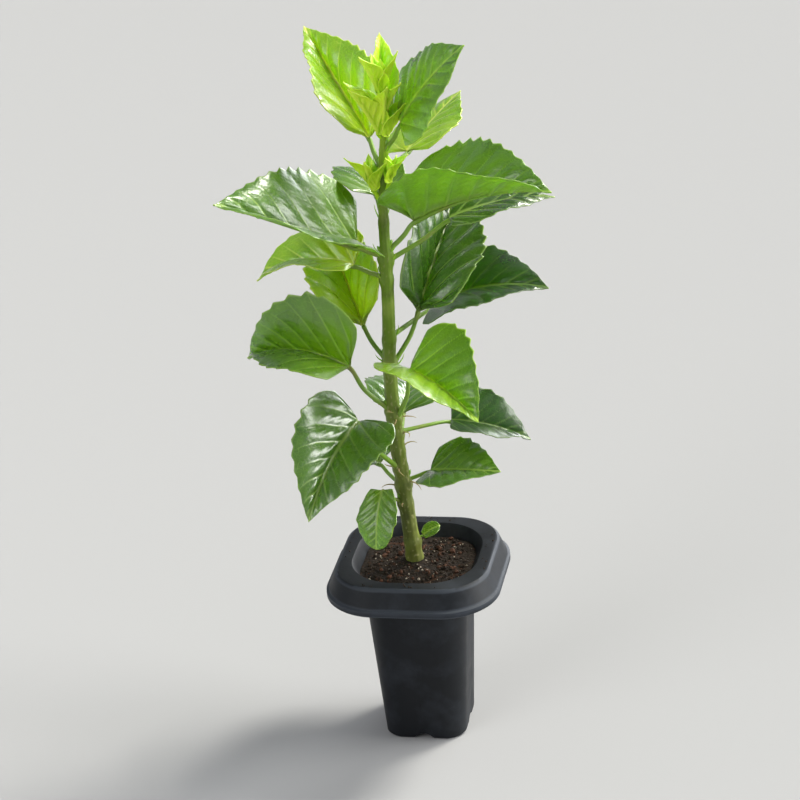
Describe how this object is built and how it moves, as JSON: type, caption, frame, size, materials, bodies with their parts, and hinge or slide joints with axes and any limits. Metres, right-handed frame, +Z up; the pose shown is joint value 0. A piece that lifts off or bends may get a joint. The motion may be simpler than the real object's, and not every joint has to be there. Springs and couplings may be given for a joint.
{
  "type": "young potted hibiscus plant",
  "caption": "Young hibiscus with a single upright green stem and glossy toothed leaves on long stalks, rooted in the deep square black plastic cell pot it was raised in.",
  "frame": {"origin": "centre of the pot's flat underside, on the surface it stands on", "axes": "+Z up along the stem, -Y towards the viewer of the picture, +X to the right"},
  "size_m": [0.1318, 0.1271, 0.3013],
  "materials": {
    "pot_plastic": "satin",
    "growing_mix": "rough",
    "green_stem": "satin",
    "leaf_young": "glossy",
    "leaf_grown": "glossy",
    "shoot_young": "satin"
  },
  "bodies": {
    "root": {"pot": "pot_plastic", "soil": "growing_mix", "stem": "green_stem", "leaf_top_left": "leaf_young", "leaf_top_right": "leaf_young", "leaf_top_back": "leaf_young", "leaf_upper_right": "leaf_young", "leaf_upper_left": "leaf_young", "leaf_left_under": "leaf_young", "leaf_mid_left": "leaf_grown", "leaf_left_broad": "leaf_grown", "leaf_front_left": "leaf_grown", "leaf_front_right": "leaf_grown", "leaf_mid_right": "leaf_grown", "leaf_right_behind": "leaf_grown", "leaf_under_right": "leaf_grown", "leaf_low_right": "leaf_grown", "leaf_low_right_behind": "leaf_grown", "leaf_low_left_small": "leaf_grown", "leaf_foot_tiny": "leaf_grown", "leaf_back_upper": "leaf_young", "leaf_back_low": "leaf_grown", "leaf_back_left_low": "leaf_grown", "shoot_tip": "shoot_young", "shoot_left": "shoot_young", "shoot_right": "shoot_young"}
  },
  "joints": []
}
